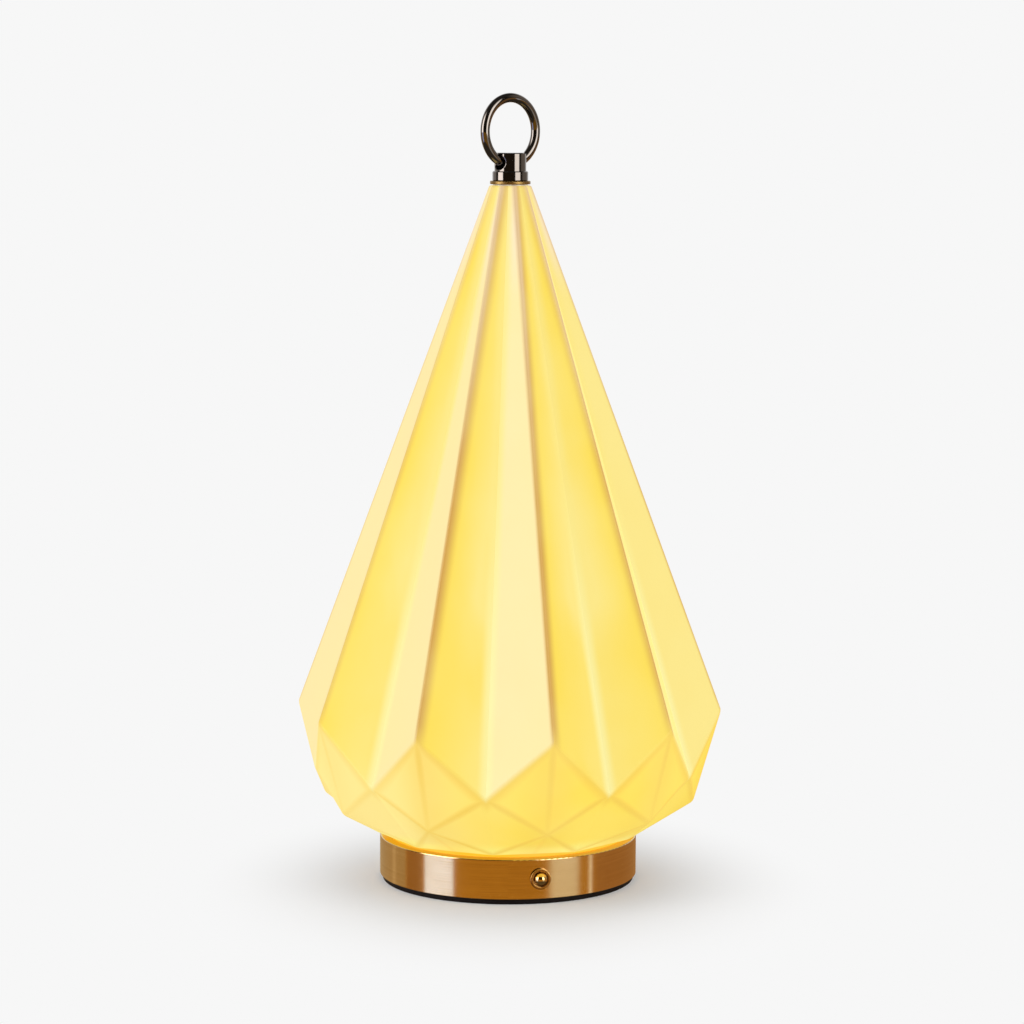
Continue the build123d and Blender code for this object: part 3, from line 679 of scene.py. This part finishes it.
def chinaMaterial():
    look, span = chinaLook, chinaSpans
    material, tree, shader, place = newMaterial("litChina")
    masks = addNode(tree, "ShaderNodeGroup", node_tree=foldMasks())
    feed(tree, masks.inputs[0], place)
    mask = masks.outputs
    isUpper = fade(tree, mask["OverGirdle"], *span["upperPart"])
    paint = mixColour(tree, isUpper, lowerFolds(tree, mask), upperPleats(tree, mask, place))
    cloud = noise(tree, place, look["cloudScale"], look["softDetail"])
    paint = mixColour(tree, fade(tree, cloud, *span["clouds"]), paint, look["valleyLow"])
    level = mixColour(tree, isUpper, grey(look["lowerGlow"]), grey(look["glow"]))
    # the glow isn't thrown on the floor: the photograph's floor has no tint
    dark = addNode(tree, "ShaderNodeLightPath").outputs["Is Diffuse Ray"]
    glow = mixColour(tree, dark, dimmed(tree, paint, level), look["thrown"])
    feed(tree, shader.inputs["Emission Color"], glow)
    shader.inputs["Emission Strength"].default_value = 1.0
    # the skin takes the same paint, painted light and shade included
    feed(tree, shader.inputs["Base Color"], dimmed(tree, paint, grey(look["skin"])))
    patches = noise(tree, place, look["roughScale"])
    feed(tree, shader.inputs["Roughness"], fade(tree, patches, *span["roughness"]))
    shader.inputs["Specular IOR Level"].default_value = look["specular"]
    shader.inputs["Coat Weight"].default_value = look["coat"]
    shader.inputs["Coat Roughness"].default_value = look["coatRoughness"]
    wave = noise(tree, place, look["waveScale"], look["softDetail"])
    grain = times(tree, noise(tree, place, look["grainScale"]), look["grainShare"])
    bump(tree, shader, plus(tree, wave, grain), look["glazeRelief"], look["glazeDepth"])
    material.cycles.emission_sampling = "NONE"
    return material


makeShade(chinaMaterial())
print("shade ready")


# metal finishes: wear mixes the base and deep tones, and lines is how strong the turned lines are
metals = {
    "brushedBrass": dict(
        base=(0.79, 0.56, 0.29),
        deep=(0.66, 0.43, 0.18),
        grain=9000.0,
        lines=0.9,
        rough=0.11,
        relief=0.1,
        anisotropic=0.5,
    ),
    "dullBrass": dict(
        base=(0.36, 0.235, 0.08), deep=(0.28, 0.17, 0.05), grain=9000.0, lines=0.3, rough=0.36, relief=0.1
    ),
    # the bezel's darker brass is painted shade for the recess round the ball
    "bezelShadeBrass": dict(base=(0.5, 0.3, 0.1), deep=(0.4, 0.22, 0.07), rough=0.2),
    "polishedBrass": dict(base=(0.86, 0.6, 0.25), deep=(0.78, 0.5, 0.18), rough=0.07),
    "blackNickel": dict(base=(0.2, 0.18, 0.165), deep=(0.165, 0.148, 0.135), rough=0.06),
    "zincSteel": dict(
        base=(0.55, 0.56, 0.57), deep=(0.42, 0.43, 0.43), grain=1500.0, lines=0.4, rough=0.3, relief=0.15
    ),
    "screwSteel": dict(
        base=(0.62, 0.62, 0.63), deep=(0.5, 0.5, 0.5), grain=4000.0, lines=0.5, rough=0.24, relief=0.15
    ),
    "lightBoardMetal": dict(base=(0.8, 0.8, 0.8), deep=(0.72, 0.72, 0.72), rough=0.36),
}
wearLook = {
    "roundAxis": 0.8,
    "lineDetail": 4.0,
    "lineRoughness": 0.6,
    "lineSpan": (0.35, 0.65),
    "cloudScale": 60.0,
    "cloudSpan": (0.35, 0.65, 0, 0.35),
    "roughStep": 0.05,
    "depth": 0.03 * mm,
}


def wearGroup():  # turned lines round the axis, and cloudy handling marks
    tree = bpy.data.node_groups.new("metalWear", "ShaderNodeTree")
    inputs = {
        "Place": "Vector",
        "Base": "Color",
        "Deep": "Color",
        "Grain": "Float",
        "Lines": "Float",
        "Rough": "Float",
    }
    outputs = {"Colour": "Color", "Roughness": "Float", "Height": "Float"}
    for label, kind in inputs.items():
        tree.interface.new_socket(label, in_out="INPUT", socket_type="NodeSocket" + kind)
    for label, kind in outputs.items():
        tree.interface.new_socket(label, in_out="OUTPUT", socket_type="NodeSocket" + kind)
    given = addNode(tree, "NodeGroupInput").outputs
    result = addNode(tree, "NodeGroupOutput").inputs
    split = addNode(tree, "ShaderNodeSeparateXYZ")
    feed(tree, split.inputs[0], given["Place"])
    across, along, height = split.outputs
    lines = addNode(tree, "ShaderNodeCombineXYZ")  # long round the axis and fine up it
    feed(tree, lines.inputs[0], times(tree, sums(tree, "ARCTAN2", across, along), wearLook["roundAxis"]))
    feed(tree, lines.inputs[2], times(tree, height, given["Grain"]))
    turned = noise(tree, lines.outputs[0], 1.0, wearLook["lineDetail"], wearLook["lineRoughness"])
    streak = times(tree, fade(tree, turned, *wearLook["lineSpan"]), given["Lines"])
    cloud = fade(tree, noise(tree, given["Place"], wearLook["cloudScale"]), *wearLook["cloudSpan"])
    amount = sums(tree, "ADD", streak, cloud, clamp=True)
    rougher = times(tree, amount, wearLook["roughStep"])
    feed(tree, result["Colour"], mixColour(tree, amount, given["Base"], given["Deep"]))
    feed(tree, result["Roughness"], plus(tree, given["Rough"], rougher))
    feed(tree, result["Height"], times(tree, turned, given["Lines"]))
    return tree


wear = wearGroup()


def metalMaterial(name, base, deep, grain=2000.0, lines=0.0, rough=0.2, relief=0.05, anisotropic=0.0):
    material, tree, shader, place = newMaterial(name)
    node = addNode(tree, "ShaderNodeGroup", node_tree=wear)
    feed(tree, node.inputs["Place"], place)
    given = {"Base": (*base, 1), "Deep": (*deep, 1), "Grain": grain, "Lines": lines, "Rough": rough}
    for label, value in given.items():
        node.inputs[label].default_value = value
    feed(tree, shader.inputs["Base Color"], node.outputs["Colour"])
    feed(tree, shader.inputs["Roughness"], node.outputs["Roughness"])
    shader.inputs["Metallic"].default_value = 1.0
    bump(tree, shader, node.outputs["Height"], relief, wearLook["depth"])
    if anisotropic:  # the turned lines spread a reflection up and down only
        shader.inputs["Anisotropic"].default_value = anisotropic
        shader.inputs["Anisotropic Rotation"].default_value = quarterTurn
        tangent = addNode(tree, "ShaderNodeTangent", direction_type="RADIAL", axis="Z")
        feed(tree, shader.inputs["Tangent"], tangent.outputs[0])
    return material


# rubber, plastic, foam and the pieces that glow
softs = {
    "blackRubber": dict(
        base=(0.006, 0.004, 0.004),
        deep=(0.012, 0.009, 0.008),
        rough=0.6,
        grain=1800.0,
        relief=0.3,
        shine=0.08,
    ),
    "clearSilicone": dict(
        base=(0.8, 0.75, 0.62), deep=(0.86, 0.82, 0.7), rough=0.5, grain=700.0, relief=0.15
    ),
    "litSilicone": dict(
        base=(0.4, 0.2, 0.03),
        deep=(0.5, 0.26, 0.05),
        rough=0.5,
        grain=700.0,
        relief=0.15,
        glow=(0.92, 0.5, 0.02),
    ),
    "whitePlastic": dict(
        base=(0.78, 0.77, 0.73), deep=(0.84, 0.83, 0.8), rough=0.42, grain=900.0, relief=0.1
    ),
    "blackPlastic": dict(
        base=(0.03, 0.03, 0.032), deep=(0.05, 0.05, 0.05), rough=0.45, grain=1500.0, relief=0.25
    ),
    "chipPlastic": dict(
        base=(0.045, 0.045, 0.05), deep=(0.07, 0.07, 0.072), rough=0.55, grain=2500.0, relief=0.3
    ),
    "leadCover": dict(
        base=(0.42, 0.035, 0.03), deep=(0.5, 0.05, 0.04), rough=0.4, grain=1200.0, relief=0.1
    ),
    "padFoam": dict(
        base=(0.07, 0.07, 0.072), deep=(0.12, 0.12, 0.12), rough=0.9, grain=1400.0, relief=0.8
    ),
    "opalDome": dict(
        base=(0.85, 0.83, 0.76),
        deep=(0.9, 0.88, 0.82),
        rough=0.5,
        grain=300.0,
        relief=0.05,
        glow=(1.0, 0.88, 0.6),
    ),
    "phosphor": dict(
        base=(0.9, 0.72, 0.22),
        deep=(0.95, 0.78, 0.3),
        rough=0.35,
        grain=2000.0,
        relief=0.1,
        glow=(1.0, 0.9, 0.6),
    ),
}
softWear = {
    "detail": 4.0,
    "speckRoughness": 0.6,
    "toneSpan": (0.35, 0.65),
    "roughSpan": (0.3, 0.7),
    "roughStep": 0.06,
    "dimGlow": 0.85,
    "depth": 0.2 * mm,
}


def softMaterial(name, base, deep, rough, grain, relief, glow=None, shine=0.5):
    material, tree, shader, place = newMaterial(name)
    shader.inputs["Specular IOR Level"].default_value = shine
    speck = noise(tree, place, grain, softWear["detail"], softWear["speckRoughness"])
    tone = fade(tree, speck, *softWear["toneSpan"])
    feed(tree, shader.inputs["Base Color"], mixColour(tree, tone, base, deep))
    step = softWear["roughStep"]
    roughness = fade(tree, speck, *softWear["roughSpan"], rough - step, rough + step)
    feed(tree, shader.inputs["Roughness"], roughness)
    bump(tree, shader, speck, relief, softWear["depth"])
    if glow:
        dimGlow = [part * softWear["dimGlow"] for part in glow]
        feed(tree, shader.inputs["Emission Color"], mixColour(tree, speck, glow, dimGlow))
        shader.inputs["Emission Strength"].default_value = 1.0
    return material


pouchLook = {
    "foil": (0.5, 0.51, 0.53),
    "paleFoil": (0.68, 0.69, 0.7),
    "creaseScale": (400, 120, 400),
    "creaseDetail": 5.0,
    "creaseRoughness": 0.6,
    "roughness": (0.3, 0.7, 0.26, 0.42),
    "metallic": 0.7,
    "relief": 0.5,
    "depth": 0.3 * mm,
}


def pouchMaterial():
    material, tree, shader, place = newMaterial("pouchFoil")
    look = pouchLook
    along = stretched(tree, place, look["creaseScale"])
    crease = noise(tree, along, 1.0, look["creaseDetail"], look["creaseRoughness"])
    feed(tree, shader.inputs["Base Color"], mixColour(tree, crease, look["foil"], look["paleFoil"]))
    feed(tree, shader.inputs["Roughness"], fade(tree, crease, *look["roughness"]))
    shader.inputs["Metallic"].default_value = look["metallic"]
    bump(tree, shader, crease, look["relief"], look["depth"])
    return material


boardLook = {
    "green": (0.01, 0.11, 0.05),
    "paleGreen": (0.015, 0.15, 0.07),
    "tracks": (0.04, 0.24, 0.1),
    "trackScale": 260.0,
    "trackWidth": 0.06,
    "cloudScale": 300.0,
    "roughness": (0.3, 0.7, 0.28, 0.4),
    "relief": 0.3,
    "depth": 0.1 * mm,
}


def boardMaterial():
    material, tree, shader, place = newMaterial("solderMask")
    brick = addNode(tree, "ShaderNodeTexBrick")
    feed(tree, brick.inputs["Vector"], place)
    brick.inputs["Scale"].default_value = boardLook["trackScale"]
    brick.inputs["Mortar Size"].default_value = boardLook["trackWidth"]
    tracks = brick.outputs["Fac"]
    cloud = noise(tree, place, boardLook["cloudScale"])
    green = mixColour(tree, cloud, boardLook["green"], boardLook["paleGreen"])
    feed(tree, shader.inputs["Base Color"], mixColour(tree, tracks, green, boardLook["tracks"]))
    feed(tree, shader.inputs["Roughness"], fade(tree, cloud, *boardLook["roughness"]))
    bump(tree, shader, tracks, boardLook["relief"], boardLook["depth"])
    return material


finishes = {"pouchFoil": pouchMaterial(), "solderMask": boardMaterial()}
for name, look in metals.items():
    finishes[name] = metalMaterial(name, **look)
for name, look in softs.items():
    finishes[name] = softMaterial(name, **look)

# the frame's own forms that only get a finish
dressedNodes = {
    "zincSteel": ("base_plate", "centre_rod", "upper_rod_nut", "lower_rod_nut", "lock_washer"),
    "screwSteel": (
        "plate_screws",
        "board_screws",
        "led_screws",
        "dome_screws",
        "button_clip",
        "charge_socket",
    ),
    "blackRubber": ("foot_pad", "lead_grommet"),
    "litSilicone": ("shade_gasket",),
    "clearSilicone": ("top_gasket",),
    "whitePlastic": ("switch_plunger", "battery_plug", "battery_header"),
    "blackPlastic": ("switch_body", "socket_tongue"),
    "solderMask": ("control_board",),
    "chipPlastic": ("board_chips",),
    "pouchFoil": ("battery_pack",),
    "padFoam": ("battery_pad",),
    "leadCover": ("battery_lead", "led_lead"),
    "lightBoardMetal": ("led_board",),
    "phosphor": ("led_chips",),
    "opalDome": ("led_dome",),
}
for finish, names in dressedNodes.items():
    for name in names:
        dress(nodes[name], finishes[finish])
print("inner pieces ready")


# turned metal pieces: the frame's own forms, with smooth round faces.
# Each has its node, finish, slot, and the angle in degrees over which an edge stays sharp
turnedPieces = {
    "brassDrum": ("base_drum", "brushedBrass", "brass", 28),
    "brassWasher": ("top_washer", "dullBrass", "brass", 28),
    "nickelHub": ("top_hub", "blackNickel", "black_nickel", 28),
    "buttonBezel": ("button_bezel", "bezelShadeBrass", "brass", 40),
    "buttonBall": ("push_button", "polishedBrass", "polished_brass", 50),
}
bodyOf = {"push_button": "button"}
uprightPieces = ("base_drum", "top_hub", "top_washer")
turnedLimits = {
    "lean": 0.02,  # how far an upright wall's normal may lean
    "outwards": 0.95,  # and how far out it has to point
    "mergeGap": 0.001 * mm,
}


def roundOff(mesh):  # upright outer walls shade as true cylinders, also round their holes
    normals = [corner.vector.copy() for corner in mesh.corner_normals]
    for face in mesh.polygons:
        for corner in face.loop_indices:
            spot = mesh.vertices[mesh.loops[corner].vertex_index].co
            outwards = Vector((spot.x, spot.y, 0)).normalized()
            upright = abs(face.normal.z) < turnedLimits["lean"]
            if upright and face.normal.dot(outwards) > turnedLimits["outwards"]:
                normals[corner] = outwards
    mesh.normals_split_custom_set(normals)


def makeTurned(name, node, material, angle):  # a merged copy of a node with its own shading
    mesh = nodes[node].data.copy()
    mesh.name = name
    form = bmesh.new()
    form.from_mesh(mesh)
    bmesh.ops.remove_doubles(form, verts=form.verts, dist=turnedLimits["mergeGap"])
    form.to_mesh(mesh)
    form.free()
    if mesh.attributes.get("custom_normal"):
        mesh.attributes.remove(mesh.attributes["custom_normal"])
    mesh.shade_smooth()
    mesh.set_sharp_from_angle(angle=math.radians(angle))
    if node in uprightPieces:
        roundOff(mesh)
    piece = addObject(name, mesh)
    dress(piece, material)
    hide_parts(node)
    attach(piece, bodyOf.get(node, "lamp"))


for name, (node, finish, slot, angle) in turnedPieces.items():
    makeTurned(name, node, finishes[finish], angle)

ringSizes = {
    "radius": 12.15 * mm,
    "wireRadius": 1.72 * mm,
    "turn": math.radians(40.6),
    "steps": 144,
    "wireSteps": 36,
}


def makeRing(material):  # a round wire ring, standing where its node stands
    lowest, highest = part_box("carry_ring")
    middle = Vector((0, 0, (lowest[2] + highest[2]) / 2))
    along = Vector((math.cos(ringSizes["turn"]), math.sin(ringSizes["turn"]), 0))
    up = Vector((0, 0, 1))
    facing = along.cross(up)
    form = bmesh.new()
    rows = []
    for step in range(ringSizes["steps"]):
        angle = math.tau * step / ringSizes["steps"]
        outwards = along * math.cos(angle) + up * math.sin(angle)
        centre = middle + outwards * ringSizes["radius"]
        row = []
        for point in range(ringSizes["wireSteps"]):
            around = math.tau * point / ringSizes["wireSteps"]
            spot = outwards * math.cos(around) + facing * math.sin(around)
            row.append(form.verts.new(centre + spot * ringSizes["wireRadius"]))
        rows.append(row)
    for row, following in zip(rows, rows[1:] + rows[:1]):
        for point in range(len(row)):
            beyond = (point + 1) % len(row)
            form.faces.new((row[point], following[point], following[beyond], row[beyond]))
    bmesh.ops.recalc_face_normals(form, faces=form.faces)
    mesh = bpy.data.meshes.new("nickelRing")
    form.to_mesh(mesh)
    form.free()
    mesh.shade_smooth()
    piece = addObject("nickelRing", mesh)
    dress(piece, material)
    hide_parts("carry_ring")
    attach(piece, "ring")


makeRing(finishes["blackNickel"])
print("metal ready")

bpy.context.scene.view_settings.view_transform = "Standard"
